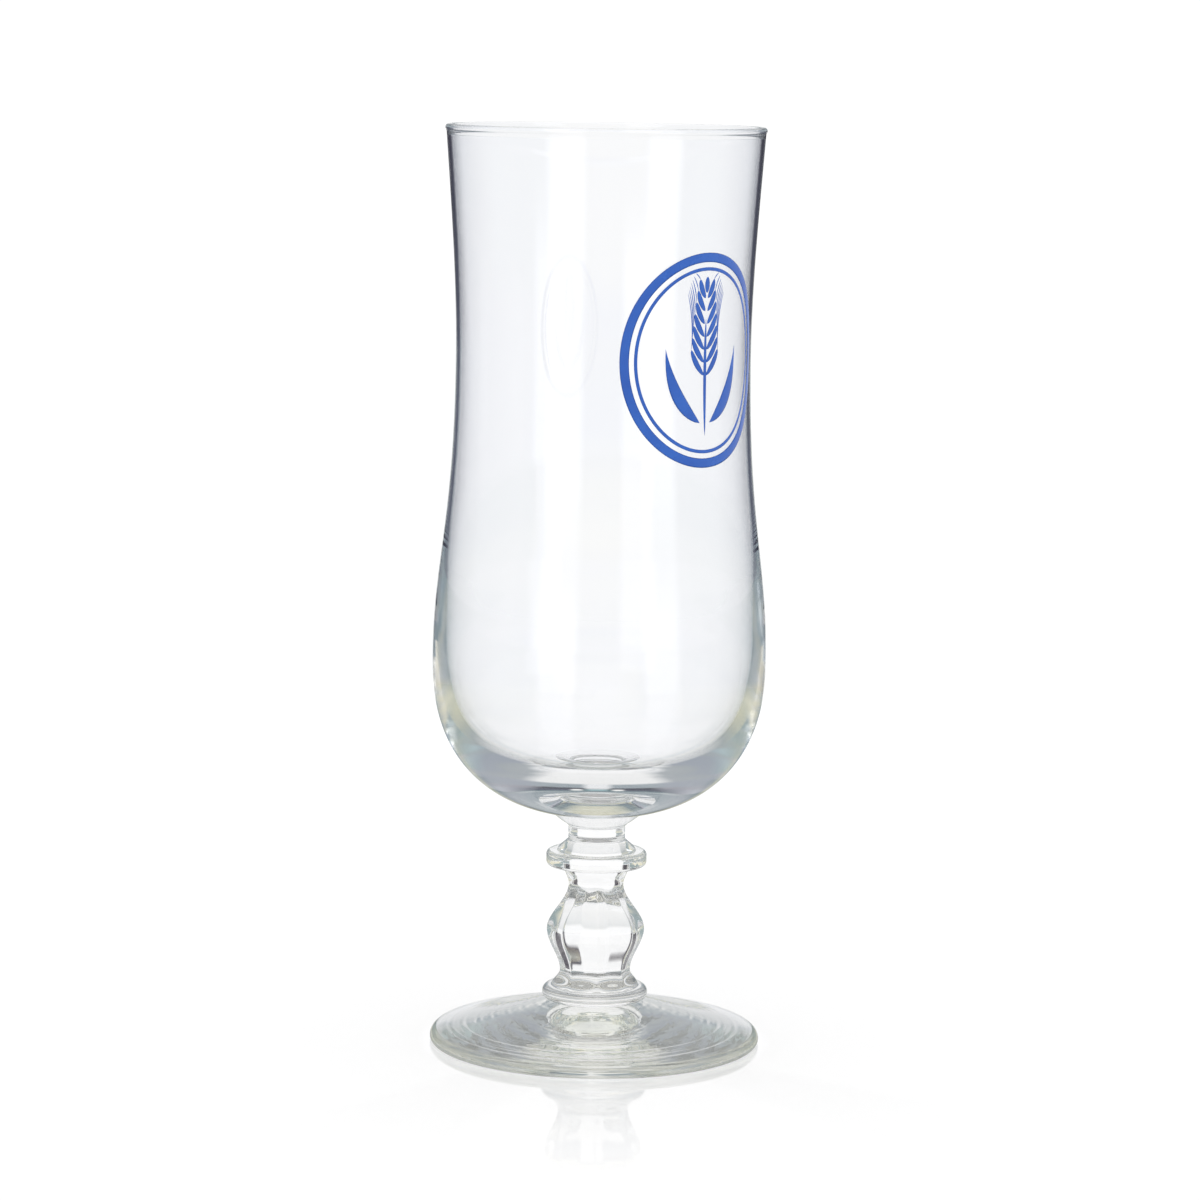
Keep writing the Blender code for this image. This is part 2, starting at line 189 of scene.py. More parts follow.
_, foot_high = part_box("foot")
ring_low, ring_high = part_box("foot_ring")
foot_radius = foot_high.x
edge_thickness = 2.6 * MM
lower_corner = 0.9 * MM
upper_sweep = 75
rest_width = 3.0 * MM
hollow_depth = 3.4 * MM
hollow_crown, hollow_brim = 1.6, 1.4
cone_power = 1.3
spin_height = 0.006 * MM
spin_pitch, fine_pitch = 1.9 * MM, 1.17 * MM
fine_share, fine_phase = 0.6, 1
spin_offset = 0.5 * MM
spin_start, spin_end = 2 * MM, 3 * MM
ring_half = (ring_high.z - ring_low.z) / 2
ring_seat = ring_high.x - ring_half
shoulder = edge_thickness - lower_corner
rest_outer = foot_radius - lower_corner
rest_inner = rest_outer - rest_width
share = np.linspace(0, 1, HOLLOW_STEPS + 1)
hollow_level = hollow_depth * (1 - share**hollow_crown) ** hollow_brim
hollow = np.stack([rest_inner * share, hollow_level], axis=1)
lower_edge = rounded((rest_outer, lower_corner), lower_corner, -90, 0, steps=10)
upper_edge = rounded((foot_radius - shoulder, lower_corner), shoulder, 0, upper_sweep, steps=14)
cone_radius, cone_foot = upper_edge[-1]
share = np.linspace(0, 1, CONE_STEPS + 1)
cone_reach = cone_radius + (ring_seat - cone_radius) * share
cone_level = cone_foot + (ring_low.z - cone_foot) * share**cone_power
foot_outline = outline(
    hollow,
    lower_edge,
    upper_edge,
    np.stack([cone_reach, cone_level], axis=1),
    straight((ring_seat, ring_low.z), (0, ring_low.z), FLAT_STEPS),
)
reach, level = turned(foot_outline)
on_cone = np.clip((reach - ring_seat) / spin_start, 0, 1) * np.clip((cone_radius - reach) / spin_end, 0, 1)
on_cone *= level > edge_thickness
off_centre = reach + spin_offset * np.sin(turns)
spun = np.sin(2 * np.pi * off_centre / spin_pitch)
spun += fine_share * np.sin(2 * np.pi * off_centre / fine_pitch + fine_phase)
level = level + spin_height * on_cone * spun
glass_piece("pressed_foot", "foot", foot_glass, reach, level, fused(foot_outline, 0, ring_seat))

# Foot ring
# A rounded ring of the same clear glass between foot and stem, fused to both while hot. Its edge is half
# a circle in section.
knop_low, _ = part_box("knop")
knop_base = 9.0 * MM
ring_middle = (ring_seat, (ring_low.z + ring_high.z) / 2)
ring_outline = outline(
    straight((0, ring_low.z), (ring_seat, ring_low.z), FLAT_STEPS),
    rounded(ring_middle, ring_half, -90, 90, steps=28),
    straight((ring_seat, ring_high.z), (knop_base, ring_high.z), steps=2),
    straight((knop_base, ring_high.z), (knop_base, knop_low.z), steps=1),
    straight((knop_base, knop_low.z), (0, knop_low.z), FLAT_STEPS),
)
reach, level = turned(ring_outline)
glass_piece("rounded_foot_ring", "foot_ring", clear, reach, level, fused(ring_outline, ring_seat, knop_base))

# Knop
# The eight-sided baluster of the stem, clear glass pressed in a mould and fire-polished, so its corners
# are soft. It is round where it is fused to the foot ring and round again in its slim upper end under
# the collar.
collar_low, collar_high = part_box("collar")
knop_sides = 8
knop_turn = np.radians(3.5)
corner_softness = 70
knop_waist, knop_belly, knop_neck, knop_top = 7.4 * MM, 10.3 * MM, 5.7 * MM, 6.9 * MM
waist_level = knop_low.z + 3.0 * MM
belly_level = waist_level + 8.8 * MM
neck_level = belly_level + 9.6 * MM
facet_fade = 2.4 * MM


def eased(start, end, steps):
    """From one radius to another, upright at both ends: the radius follows 3 s^2 - 2 s^3 of the share s of
    the rise."""
    share = np.linspace(0, 1, steps + 1)
    reach = start[0] + (end[0] - start[0]) * share**2 * (3 - 2 * share)
    return np.stack([reach, start[1] + (end[1] - start[1]) * share], axis=1)


knop_outline = outline(
    straight((0, knop_low.z), (knop_base, knop_low.z), FLAT_STEPS),
    eased((knop_base, knop_low.z), (knop_waist, waist_level), steps=14),
    eased((knop_waist, waist_level), (knop_belly, belly_level), steps=30),
    eased((knop_belly, belly_level), (knop_neck, neck_level), steps=34),
    eased((knop_neck, neck_level), (knop_top, collar_low.z), steps=16),
    straight((knop_top, collar_low.z), (0, collar_low.z), FLAT_STEPS),
)
reach, level = turned(knop_outline)
side_turn = 2 * np.pi / knop_sides
facing = turns - knop_turn - side_turn / 2 - np.arange(knop_sides)[:, None] * side_turn
flats = np.sum(np.clip(np.cos(facing), 0, 1) ** corner_softness, axis=0) ** (-1 / corner_softness)
flats *= np.cos(side_turn / 2)
facet_levels = (knop_low.z, waist_level, neck_level - facet_fade, neck_level)
faceted = np.interp(level, facet_levels, (0, 1, 1, 0))
reach = reach * (1 + (flats - 1) * faceted)
glass_piece("faceted_knop", "knop", clear, reach, level, fused(knop_outline, knop_base, knop_top))

# Collar
# A flat disc of clear glass round the stem, fused to the knop below it and the neck above it. The two
# halves of its mould left a faint seam down its edge on both sides.
neck_low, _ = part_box("neck")
collar_radius = collar_high.x
collar_corner = 0.9 * MM
neck_base = 8.2 * MM
seam_turn = np.radians(52)
seam_height = 0.06 * MM
seam_width = np.radians(1.8)
inset = collar_radius - collar_corner
collar_outline = outline(
    straight((0, collar_low.z), (knop_top, collar_low.z), FLAT_STEPS),
    straight((knop_top, collar_low.z), (inset, collar_low.z), steps=6),
    rounded((inset, collar_low.z + collar_corner), collar_corner, -90, 0, steps=12),
    rounded((inset, neck_low.z - collar_corner), collar_corner, 0, 90, steps=12),
    straight((inset, neck_low.z), (neck_base, neck_low.z), steps=4),
    straight((neck_base, neck_low.z), (0, neck_low.z), FLAT_STEPS),
)
reach, level = turned(collar_outline)
off_seam = np.sin(turns - seam_turn) / seam_width
rim_share = np.clip((reach - inset) / collar_corner, 0, 1)
reach = reach + rim_share * (seam_height * np.exp(-(off_seam**2)) - seam_height)
glass_piece("stem_collar", "collar", clear, reach, level, fused(collar_outline, knop_top, neck_base))

# Neck
# The short waisted spool of clear glass that lifts the bowl off the collar. Two faint steps run round it
# where the rings of its mould met.
wafer_low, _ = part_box("bowl_wafer")
neck_radius, neck_top = 5.9 * MM, 6.5 * MM
neck_waist = neck_low.z + 2.8 * MM
neck_straight = neck_waist + 2.4 * MM
step_shares = np.array([0.42, 0.60])
step_size = 0.09 * MM
step_length = 0.22 * MM
step_levels = step_shares * (wafer_low.z - neck_low.z) + neck_low.z
neck_outline = outline(
    straight((0, neck_low.z), (neck_base, neck_low.z), FLAT_STEPS),
    eased((neck_base, neck_low.z), (neck_radius, neck_waist), steps=22),
    straight((neck_radius, neck_waist), (neck_radius, neck_straight), steps=12),
    eased((neck_radius, neck_straight), (neck_top, wafer_low.z), steps=14),
    straight((neck_top, wafer_low.z), (0, wafer_low.z), FLAT_STEPS),
)
reach, level = turned(neck_outline)
steps = sum(np.exp(-(((level - at) / step_length) ** 2)) for at in step_levels)
reach = reach - step_size * steps * (reach > neck_radius - same_place)
glass_piece("waisted_neck", "neck", clear, reach, level, fused(neck_outline, neck_base, neck_top))

# Bowl wafer
# The shallow button of clear glass that was dropped on the neck while soft, to carry the bowl. It swells
# from the neck's end to the bowl's seat and is fused to both.
bowl_low, bowl_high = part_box("bowl")
seat_radius = 9.8 * MM
wafer_swell = 1.2
WAFER_STEPS = 20
share = np.linspace(0, 1, WAFER_STEPS + 1)
wafer_reach = neck_top + (seat_radius - neck_top) * share
wafer_level = wafer_low.z + (bowl_low.z - wafer_low.z) * share**wafer_swell
wafer_outline = outline(
    straight((0, wafer_low.z), (neck_top, wafer_low.z), FLAT_STEPS),
    np.stack([wafer_reach, wafer_level], axis=1),
    straight((seat_radius, bowl_low.z), (0, bowl_low.z), FLAT_STEPS),
)
reach, level = turned(wafer_outline)
glass_piece("bowl_button", "bowl_wafer", clear, reach, level, fused(wafer_outline, neck_top, seat_radius))

# Bowl
# The tall waisted vessel, blown into a mould: thick in its base and under a millimetre at the waist, with
# a lip that was melted round. Its base is fused to the wafer.
belly_radius = bowl_high.x
belly = bowl_low.z + 32.3 * MM
belly_fullness = 2.4
waist_radius = 30.25 * MM
flare_rise = 45.4 * MM
flare_slope = 0.07
rim_radius = 32.8 * MM
lip_radius = 0.7 * MM
lip_wrap = 25
rim_wall, waist_wall, belly_wall = 0.9 * MM, 0.75 * MM, 2.4 * MM
inner_lift = 11.0 * MM
floor_thickness = 8.4 * MM
floor_fullness = 3.3
swell_pulls = np.array([0.32, 0.56])
flare_pulls = np.array([0.36, 0.27])
blown_tint = (0.979, 0.983, 0.993)
lip_middle = (rim_radius - lip_radius, bowl_high.z - lip_radius)
waist = lip_middle[1] - flare_rise


def rounded_base(radius, widest, lowest, fullness, end_radius, steps):
    """A superellipse: radius times cos(a)^(2/n) outwards and depth times sin(a)^(2/n) down from the widest
    level, where n is the fullness and the depth brings it to end_radius at the lowest level."""
    end_share = (end_radius / radius) ** fullness
    depth = (widest - lowest) / (1 - end_share) ** (1 / fullness)
    angle = np.linspace(np.arccos(np.sqrt(end_share)), 0, steps + 1)
    power = 2 / fullness
    return np.stack([radius * np.cos(angle) ** power, widest - depth * np.sin(angle) ** power], axis=1)


def pulled(start, first, second, end, steps):
    """A cubic Bezier curve from start to end, drawn towards first and second on its way."""
    share = np.linspace(0, 1, steps + 1)[:, None]
    rest = 1 - share
    curve = rest**3 * np.array(start) + 3 * rest**2 * share * np.array(first)
    return curve + 3 * rest * share**2 * np.array(second) + share**3 * np.array(end)


def wall(base, widest, narrowest, rim):
    """A base, then the swell up to the waist and the flare up to the rim, two Bezier curves that stand
    upright at the widest and the narrowest point."""
    lower, upper = swell_pulls * (narrowest[1] - widest[1])
    above_belly = (widest[0], widest[1] + lower)
    below_waist = (narrowest[0], narrowest[1] - upper)
    swell = pulled(widest, above_belly, below_waist, narrowest, steps=60)
    lower, upper = flare_pulls * (rim[1] - narrowest[1])
    above_waist = (narrowest[0], narrowest[1] + lower)
    below_rim = (rim[0] - flare_slope * upper, rim[1] - upper)
    flare = pulled(narrowest, above_waist, below_rim, rim, steps=44)
    return outline(base, swell, flare)


outer_wall = wall(
    rounded_base(belly_radius, belly, bowl_low.z, belly_fullness, seat_radius, steps=56),
    (belly_radius, belly),
    (waist_radius, waist),
    (lip_middle[0] + rim_wall / 2, lip_middle[1] - lip_radius),
)
inner_radius = belly_radius - belly_wall
inner_belly = belly + inner_lift
inner_wall = wall(
    rounded_base(inner_radius, inner_belly, bowl_low.z + floor_thickness, floor_fullness, 0, steps=70),
    (inner_radius, inner_belly),
    (waist_radius - waist_wall, waist),
    (lip_middle[0] - rim_wall / 2, lip_middle[1] - lip_radius),
)
bowl_outline = outline(
    straight((0, bowl_low.z), (seat_radius, bowl_low.z), FLAT_STEPS),
    outer_wall,
    rounded(lip_middle, lip_radius, -lip_wrap, 180 + lip_wrap, steps=28),
    inner_wall[::-1],
)
reach, level = turned(bowl_outline)
bowl_glass = clear_glass("Bowl glass", blown_tint, 0)
glass_piece("blown_bowl", "bowl", bowl_glass, reach, level, fused(bowl_outline, seat_radius, 0))

# Print
# Blue enamel, screen-printed on the bowl's right front and fired into it: an oval band and a fine line
# round an ear of barley with two leaves. Each stroke lies on the glass as a flat bead with soft edges.
print_turn = np.radians(42)
print_middle = waist + 0.2 * MM
enamel_rise = 0.08 * MM
enamel_float = 0.02 * MM
weld_distance = 0.001 * MM
BEAD_COLUMNS = 8
OVAL_STEPS = 160
STROKE_STEPS = 16
band_half = np.array([19.0, 21.5]) * MM
band_line = 1.9 * MM
line_gap = 1.0 * MM
line_width = 0.7 * MM
enamel_clouds = 180
thick_blue, thin_blue = (0.006, 0.075, 0.45, 1), (0.03, 0.17, 0.68, 1)
enamel_gloss = (0.18, 0.34)


def mixed(tree, share, first, second, blend="MIX"):
    """The first colour with the second laid over it by a share from 0 to 1, in the way of a blend."""
    sockets = {"Factor": share, "A": first, "B": second}
    return add_node(tree, "ShaderNodeMix", sockets, data_type="RGBA", blend_type=blend).outputs["Result"]


def ramped(tree, value, span, ends, run="LINEAR"):
    """A value that runs from one end to the other while another runs through a span, and stays there."""
    limits = {"From Min": span[0], "From Max": span[1], "To Min": ends[0], "To Max": ends[1]}
    return add_node(
        tree, "ShaderNodeMapRange", {"Value": value, **limits}, interpolation_type=run,
    ).outputs["Result"]


def blue_enamel():
    """Fired enamel: a deep blue, thinner and lighter in patches, with a satin gloss that the firing left
    uneven."""
    material, tree, shader = new_material("Blue enamel")
    place = add_node(tree, "ShaderNodeTexCoord", {}).outputs["Object"]
    cloud = add_node(tree, "ShaderNodeTexNoise", {"Vector": place, "Scale": enamel_clouds, "Detail": 4})
    patches = cloud.outputs["Fac"]
    tree.links.new(mixed(tree, patches, thick_blue, thin_blue), shader.inputs["Base Color"])
    tree.links.new(ramped(tree, patches, (0, 1), enamel_gloss), shader.inputs["Roughness"])
    return material


enamel = blue_enamel()


def strokes(middles, half_widths, ring):
    """Beads along middle lines on the unrolled bowl, (stroke, step, across and up). Round each step runs a
    flat oval: half_width times cosine across the stroke, and half the enamel's rise times one plus sine
    off the glass. An end of no width closes to a point."""
    if ring:
        heading = np.roll(middles, -1, axis=1) - np.roll(middles, 1, axis=1)
    else:
        heading = np.gradient(middles, axis=1)
    heading /= np.linalg.norm(heading, axis=2, keepdims=True)
    sideways = np.stack([-heading[..., 1], heading[..., 0]], axis=2)
    angle = np.linspace(0, 2 * np.pi, BEAD_COLUMNS, endpoint=False)
    flat = half_widths[..., None] * np.cos(angle)
    place = middles[:, :, None, :] + sideways[:, :, None, :] * flat[..., None]
    lift = np.broadcast_to(enamel_float + enamel_rise * (1 + np.sin(angle)) / 2, flat.shape)
    height = print_middle + place[..., 1]
    reach = np.interp(height, outer_wall[:, 1], outer_wall[:, 0]) + lift
    turn = print_turn + place[..., 0] / waist_radius
    return np.stack([reach * np.sin(turn), -reach * np.cos(turn), height], axis=3)


def enamel_piece(name, node, grids, ring):
    """One mesh of all the strokes: quads between neighbouring steps and neighbouring points round the bead,
    with the points of its closed ends welded."""
    count, steps, columns, _ = grids.shape
    links = steps if ring else steps - 1
    start = np.arange(count)[:, None, None] * steps * columns
    here = np.arange(links)[:, None] * columns
    after = (np.arange(links)[:, None] + 1) % steps * columns
    side = np.arange(columns)
    beside = np.roll(side, -1)
    corners = (start + here + side, start + here + beside, start + after + beside, start + after + side)
    faces = np.stack(corners, axis=3).reshape(-1, 4)
    mesh = bpy.data.meshes.new(name)
    mesh.from_pydata(grids.reshape(-1, 3).tolist(), [], faces.tolist())
    welded = bmesh.new()
    welded.from_mesh(mesh)
    bmesh.ops.remove_doubles(welded, verts=welded.verts, dist=weld_distance)
    welded.to_mesh(mesh)
    welded.free()
    mesh.shade_smooth()
    mesh.materials.append(enamel)
    piece = bpy.data.objects.new(name, mesh)
    bpy.context.collection.objects.link(piece)
    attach(piece, "root")
    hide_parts(node)


def oval(inset, width):
    """An oval stroke whose outer edge lies inset from the band's: its half axes times sine and cosine of an
    angle."""
    angle = np.linspace(0, 2 * np.pi, OVAL_STEPS, endpoint=False)
    half = band_half - inset - width / 2
    middle = np.stack([half[0] * np.sin(angle), half[1] * np.cos(angle)], axis=1)
    return strokes(middle[None], np.full((1, OVAL_STEPS), width / 2), True)


enamel_piece("enamel_band", "print_band", oval(0, band_line), True)
enamel_piece("enamel_inner_line", "print_inner_line", oval(band_line + line_gap, line_width), True)

ear_margin = 2.9 * MM
ear_stalk = 12.0 * MM
stalk_share = 0.75
stalk_half_width = 0.4 * MM
grain_rows = 7
ear_core, grain_reach, grain_lean = 0.8 * MM, 2.8 * MM, 0.8
grain_gap, grain_lap, grain_bow = 0.3 * MM, 0.9, 0.06
grain_half_width = 0.62 * MM
top_grain_ends = np.array([-1.5, 1.7]) * MM
awn_spread, awn_share, awn_bow = 1.2 * MM, 0.72, 0.05
awn_half_width = 0.11 * MM
field = band_half - band_line - line_gap - line_width
ear_foot = ear_margin - field[1]
ear_head = ear_foot + ear_stalk
grain_pitch = (-ear_foot - ear_head) / grain_rows
along = np.linspace(0, 1, STROKE_STEPS + 1)


def almond(start, end, bow, half_width):
    """Strokes from start to end that bow sideways by a parabola of the share s along them, 4 s (1 - s), and
    whose half width follows the square root of sin(pi s), so both ends are points."""
    middle = start[:, None] + (end - start)[:, None] * along[:, None]
    across = np.stack([-(end - start)[:, 1], (end - start)[:, 0]], axis=1)
    middle = middle + across[:, None] * (bow * 4 * along * (1 - along))[..., None]
    width = half_width * np.sqrt(np.abs(np.sin(np.pi * along)))
    return strokes(middle, np.broadcast_to(width, middle.shape[:2]), False)


row = np.repeat(np.arange(grain_rows), 2)
side = np.tile([-1.0, 1.0], grain_rows)
spread = ear_core + grain_reach * np.sqrt(1 - row / grain_rows)
grain_base = ear_head + row * grain_pitch
grain_start = np.stack([side * grain_gap, grain_base], axis=1)
grain_tip = np.stack([side * spread, grain_base + grain_lap * grain_pitch + grain_lean * spread], axis=1)
awn_rise = awn_share * (field[1] - grain_tip[:, 1])
awn_tip = grain_tip + np.stack([side * awn_spread, awn_rise], axis=1)
stalk = np.array([[0, ear_foot], [0, ear_head - ear_foot * stalk_share]])
top_grain = np.stack([np.zeros(2), top_grain_ends - ear_foot], axis=1)
unbowed = np.zeros((1, 1))
ear = [
    almond(grain_start, grain_tip, -side[:, None] * grain_bow, grain_half_width),
    almond(grain_tip, awn_tip, side[:, None] * awn_bow, awn_half_width),
    almond(stalk[:1], stalk[1:], unbowed, stalk_half_width),
    almond(top_grain[:1], top_grain[1:], unbowed, grain_half_width),
]
enamel_piece("enamel_ear", "print_ear", np.concatenate(ear), False)

leaf_foot, leaf_rise, leaf_bend, leaf_hook = 2.5 * MM, 15.0 * MM, 4.0 * MM, 1.3 * MM
leaf_gap = 1.3 * MM
leaf_half_width = 1.35 * MM
leaf_taper = 0.8
leaf_reach = (ear_core + grain_reach + field[0]) / 2
leaf_low = ear_foot + leaf_foot
share = along[:, None]
blade_width = leaf_half_width * np.sin(np.pi * along**leaf_taper)
for name, node, side in (
    ("enamel_leaf_left", "print_leaf_left", -1),
    ("enamel_leaf_right", "print_leaf_right", 1),
):
    start = np.array([side * leaf_gap, leaf_low])
    bend = np.array([side * (leaf_reach - leaf_hook), leaf_low + leaf_bend])
    tip = np.array([side * leaf_reach, leaf_low + leaf_rise])
    blade = (1 - share) ** 2 * start + 2 * share * (1 - share) * bend + share**2 * tip
    enamel_piece(name, node, strokes(blade[None], blade_width[None], False), False)

# Floor
# A plain pale table top, polished near the glass, that keeps the glass's shadow and faint mirror image.
# Seen straight or through the bowl it is as white as the backdrop. The glass's inner reflections show the
# table's tones: painted shade under the foot, darkest under its rim, and painted pools of the soft boxes'
# light beyond it. Solid glass bends in painted shade from a dimmer ring and a dark wedge on either side.
floor_radius = 400 * MM
floor_sides = 96
floor_drop = 0.05 * MM
plain_light = 0.9
bright = 1.06
white = (1, 1, 1, 1)
painted_rim_shadow = (0.16, 0.16, 0.11)
pale_top = (0.78, 0.79, 0.78)
# Table tones, painted ring and wedges by millimetres from the glass's axis or degrees from straight ahead
# Painted shade: the table is darker under the foot and darkest in a ring under its rim where it stands
table_bands = (
    (28.8, (0.50, 0.50, 0.49)),
    (31.2, painted_rim_shadow),
    (35.2, painted_rim_shadow),
    (37.6, pale_top),
    (60, pale_top),
    (96, (0.34, 0.39, 0.40)),
    (148, (0.76, 0.74, 0.55)),
    (184, (0.74, 0.74, 0.60)),
    (228, (0.22, 0.29, 0.32)),
)
painted_ring_bands = ((40, 1.0), (64, 0.7), (96, 0.7), (120, 1.0))
clear_bands = ((40, 1.0), (56, 0.0), (300, 0.0), (340, 1.0))
painted_wedge_bands = ((31, 1.0), (33.5, 0.2), (56, 0.2), (64, 1.0))
boxes = ((-150.5, 13.5), (135.5, 12.5))
box_softness = 4
box_light = 1.1
painted_box_light_edge = 3 * MM
polish_roughness = 0.03
polish_share = 0.34
polish_fade = (45 * MM, 115 * MM)
solid_faces, face_slack = 2, 1.5
under_one = 0.5


def reckoned(tree, operation, *values, clamp=False):
    """The outcome of one step of arithmetic on values, in their order."""
    sockets = dict(enumerate(values))
    return add_node(tree, "ShaderNodeMath", sockets, operation=operation, use_clamp=clamp).outputs[0]


def banded(tree, value, bands):
    """A colour or a grey that runs from band to band as the value, from 0 to 1, passes each band's
    place."""
    ramp = add_node(tree, "ShaderNodeValToRGB", {"Fac": value})
    stops = ramp.color_ramp.elements
    while len(stops) < len(bands):
        stops.new(0.5)
    for stop, (place, colour) in zip(stops, bands):
        stop.position = place
        stop.color = (*np.broadcast_to(colour, 3), 1)
    return ramp.outputs["Color"]


def outward(tree, away, bands):
    """A colour by the distance from the glass's axis, in millimetres."""
    share = ramped(tree, away, (0, floor_radius), (0, 1))
    return banded(tree, share, [(distance * MM / floor_radius, colour) for distance, colour in bands])


def bearing(tree, direction):
    """The turn of a direction from straight ahead, in radians, to the right of the camera as positive."""
    axes = add_node(tree, "ShaderNodeSeparateXYZ", {0: direction}).outputs
    return reckoned(tree, "ARCTAN2", axes["X"], axes["Y"])


def round_about(tree, direction, bands):
    """A colour by how far a direction turns from straight ahead, in degrees to either side."""
    aside = reckoned(tree, "ABSOLUTE", bearing(tree, direction))
    share = reckoned(tree, "DIVIDE", aside, np.pi)
    return banded(tree, share, [(degrees / 180, colour) for degrees, colour in bands])


def soft_boxes(tree, direction):
    """The light of two tall soft boxes behind the camera: full within each box's half width of its middle,
    in degrees, and fading over its soft edge. On the table it paints pools of their light into its tone."""
    total = 0.0
    for middle, half in boxes:
        off = reckoned(tree, "SUBTRACT", bearing(tree, direction), np.radians(middle))
        edge = np.radians((half - box_softness, half + box_softness))
        box = ramped(tree, reckoned(tree, "ABSOLUTE", off), edge, (box_light, 0), "SMOOTHSTEP")
        total = reckoned(tree, "ADD", total, box)
    return total


def through_solid(tree, path):
    """1 for light that has crossed the two faces of solid glass, as in stem and foot, or one more or less;
    0 for the bowl's four faces or none."""
    return reckoned(tree, "COMPARE", path["Transmission Depth"], solid_faces, face_slack)


angle = np.linspace(0, 2 * np.pi, floor_sides, endpoint=False)
edge = floor_radius * np.stack([np.cos(angle), np.sin(angle), np.zeros(floor_sides)], axis=1)
mesh = bpy.data.meshes.new("Floor")
mesh.from_pydata((edge - (0, 0, floor_drop)).tolist(), [], [list(range(floor_sides))])
floor = bpy.data.objects.new("Floor", mesh)
bpy.context.collection.objects.link(floor)
material, tree, shader = new_material("Pale table")
path = add_node(tree, "ShaderNodeLightPath", {}).outputs
place = add_node(tree, "ShaderNodeTexCoord", {}).outputs["Object"]
away = add_node(tree, "ShaderNodeVectorMath", {0: place}, operation="LENGTH").outputs["Value"]
# Painted light: pools of the soft boxes' light lighten the table's tone beyond the foot's edge
past_foot = ramped(tree, away, (foot_radius, foot_radius + painted_box_light_edge), (0, 1))
painted_box_light = reckoned(tree, "MULTIPLY", soft_boxes(tree, place), past_foot)
tone = mixed(tree, 1.0, outward(tree, away, table_bands), painted_box_light, "LIGHTEN")
whitened = {0: tone, 1: [-plain_light] * 3, 2: [bright] * 3}
lift = add_node(tree, "ShaderNodeVectorMath", whitened, operation="MULTIPLY_ADD").outputs["Vector"]
bounced = reckoned(tree, "ADD", path["Glossy Depth"], path["Diffuse Depth"])
seen_straight = reckoned(tree, "LESS_THAN", bounced, under_one)
# Painted shade seen only through solid glass: a dimmer ring and two dark wedges in the table's white
painted_wedge_colour = round_about(tree, place, painted_wedge_bands)
painted_wedges = mixed(tree, 1.0, painted_wedge_colour, outward(tree, away, clear_bands), "LIGHTEN")
painted_shade_for_solid = mixed(tree, 1.0, outward(tree, away, painted_ring_bands), painted_wedges, "MULTIPLY")
shown = mixed(tree, through_solid(tree, path), white, painted_shade_for_solid)
tree.links.new(tone, shader.inputs["Base Color"])
tree.links.new(lift, shader.inputs["Emission Color"])
tree.links.new(reckoned(tree, "MULTIPLY", seen_straight, shown), shader.inputs["Emission Strength"])
shader.inputs["Roughness"].default_value = 1
shader.inputs["Specular IOR Level"].default_value = 0
polish = add_node(tree, "ShaderNodeBsdfAnisotropic", {"Color": white, "Roughness": polish_roughness})
polished = ramped(tree, away, polish_fade, (polish_share, 0))
layers = {0: polished, 1: shader.outputs["BSDF"], 2: polish.outputs["BSDF"]}
top = add_node(tree, "ShaderNodeMixShader", layers)
tree.links.new(top.outputs["Shader"], tree.nodes["Material Output"].inputs["Surface"])
mesh.materials.append(material)

# Studio
# A photographer's bright field: white for the eye and for what shows through the bowl. What the glass
# mirrors is a dimmer room, pale straight ahead with dark flags beside it, grey at the sides and warm
# behind, with the two soft boxes. Solid glass also bends in dark flags from either side of the white.
zenith = (0.95, 0.95, 0.95, 1)
table_line, horizon_line = (-4.5, -3), (-1.5, 2)
box_tops, flag_tops, ceiling_fade = (2, 6), (12, 17), (40, 70)
field_foot = (-10, -8)
# Colours by degrees to either side of straight ahead, from the table's line up to the ceiling
edge_bright, edge_dark = (0.90, 0.90, 0.88), (0.10, 0.11, 0.15)
edge_bands = (
    (3, (0.30, 0.46, 0.48)),
    (6, (0.10, 0.16, 0.18)),
    (8, edge_bright),
    (11, edge_bright),
    (13, edge_dark),
    (26, edge_dark),
    (50, (0.46, 0.48, 0.54)),
)
black_flag, side_screen = (0.05, 0.05, 0.07), (0.45, 0.47, 0.53)
horizon_bands = (
    (4, (0.62, 0.63, 0.64)),
    (7, black_flag),
    (24, black_flag),
    (32, (0.30, 0.30, 0.34)),
    (80, side_screen),
    (115, side_screen),
    (130, (0.40, 0.45, 0.60)),
)
front_screen, grey_screen, warm_screen = (0.33, 0.38, 0.41), (0.34, 0.37, 0.42), (0.86, 0.82, 0.64)
flag_bands = (
    (4, (0.84, 0.85, 0.86)),
    (8, front_screen),
    (24, front_screen),
    (34, grey_screen),
    (65, grey_screen),
    (85, (0.42, 0.52, 0.55)),
    (110, (0.28, 0.36, 0.37)),
    (138, (0.30, 0.38, 0.38)),
    (150, warm_screen),
)
upper_screen = (0.37, 0.40, 0.42)
ceiling_bands = (
    (28, (0.86, 0.86, 0.85)),
    (38, upper_screen),
    (75, upper_screen),
    (95, (0.36, 0.41, 0.42)),
    (138, (0.38, 0.43, 0.42)),
    (150, warm_screen),
    (168, (0.98, 0.98, 0.97)),
)
# The backdrop as solid glass bends it in, with a dark flag beside its white
field_flag = (0.06, 0.05, 0.07)
field_bands = (
    (31, 1.0),
    (33.5, field_flag),
    (43, field_flag),
    (45, (0.75, 0.72, 0.68)),
    (48, (0.15, 0.15, 0.18)),
    (52, 0.9),
    (64, 1.0),
)
world = bpy.data.worlds.new("Studio")
world.use_nodes = True
world.cycles.sampling_method = "NONE"
bpy.context.scene.world = world
tree = world.node_tree
path = add_node(tree, "ShaderNodeLightPath", {}).outputs
sky = add_node(tree, "ShaderNodeTexCoord", {}).outputs["Generated"]
height = add_node(tree, "ShaderNodeSeparateXYZ", {0: sky}).outputs["Z"]


def over(span, below, above):
    """One colour below a span of elevation, in degrees, and another above it, blended between."""
    return mixed(tree, ramped(tree, height, np.sin(np.radians(span)), (0, 1)), below, above)


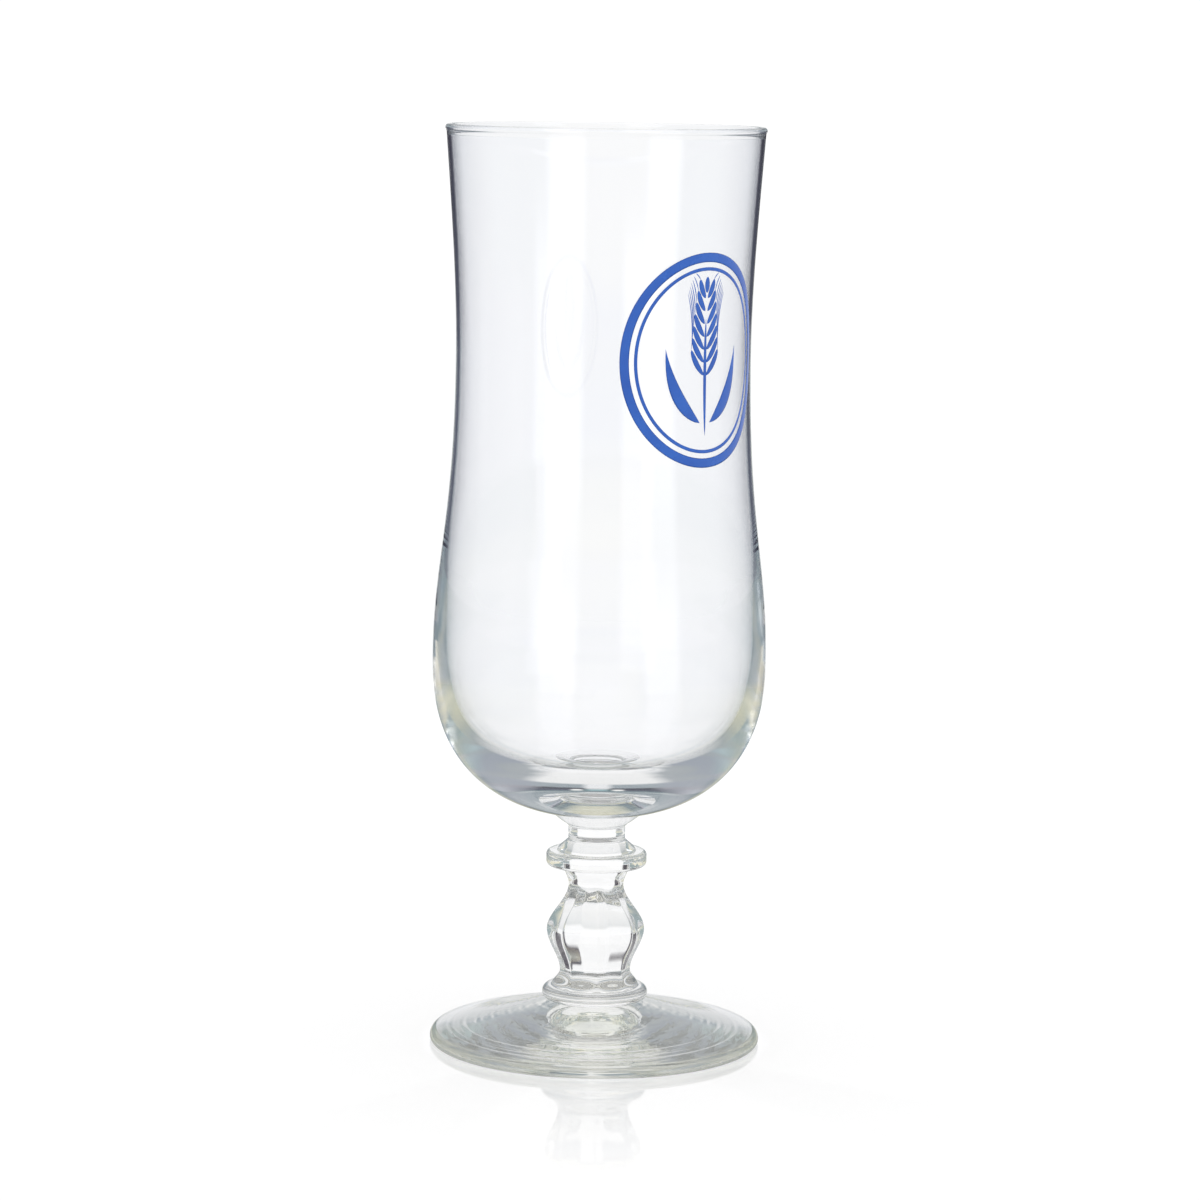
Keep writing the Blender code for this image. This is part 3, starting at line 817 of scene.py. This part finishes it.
ceiling = over(ceiling_fade, round_about(tree, sky, ceiling_bands), zenith)
flags = over(flag_tops, round_about(tree, sky, flag_bands), ceiling)
horizon = over(horizon_line, round_about(tree, sky, horizon_bands), flags)
unlit_room = over(table_line, round_about(tree, sky, edge_bands), horizon)
room = over(box_tops, mixed(tree, 1.0, unlit_room, soft_boxes(tree, sky), "ADD"), unlit_room)
table_gloss = reckoned(tree, "SUBTRACT", path["Is Glossy Ray"], path["Is Singular Ray"], clamp=True)
mirrored = mixed(tree, table_gloss, room, white)
undiffused = reckoned(tree, "LESS_THAN", path["Diffuse Depth"], under_one)
more_glossy = reckoned(tree, "LESS_THAN", path["Diffuse Depth"], path["Glossy Depth"])
turned_back = reckoned(tree, "MULTIPLY", more_glossy, undiffused)
bent_aside = reckoned(tree, "MULTIPLY", through_solid(tree, path), undiffused)
plain_field = ramped(tree, path["Diffuse Depth"], (0, 1), (bright, plain_light))
flagged_field = over(field_foot, white, round_about(tree, sky, field_bands))
backdrop = mixed(tree, bent_aside, plain_field, flagged_field)
seen = mixed(tree, turned_back, backdrop, mirrored)
tree.links.new(seen, tree.nodes["Background"].inputs["Color"])

# Camera
# A long lens in front of the glass, a little above its rim, looking slightly down and rolled by less than
# a degree. Light is followed far enough to leave thick glass after many inner reflections.
camera_distance, camera_height = 840 * MM, 208 * MM
pitch = np.radians(7.8)
roll = np.radians(0.8)
camera_data = bpy.data.cameras.new("Camera")
camera_data.sensor_width = 36
camera_data.lens = 123
camera = bpy.data.objects.new("Camera", camera_data)
bpy.context.collection.objects.link(camera)
bpy.context.scene.camera = camera
camera.location = (0, -camera_distance, camera_height)
aim = Euler((np.pi / 2 - pitch, 0, 0)).to_matrix() @ Matrix.Rotation(roll, 3, "Z")
camera.rotation_euler = aim.to_euler()
bpy.context.scene.view_settings.view_transform = "Standard"
bpy.context.scene.cycles.max_bounces = 128
bpy.context.scene.cycles.glossy_bounces = 96
bpy.context.scene.cycles.transmission_bounces = 128
bpy.context.scene.cycles.transparent_max_bounces = 64
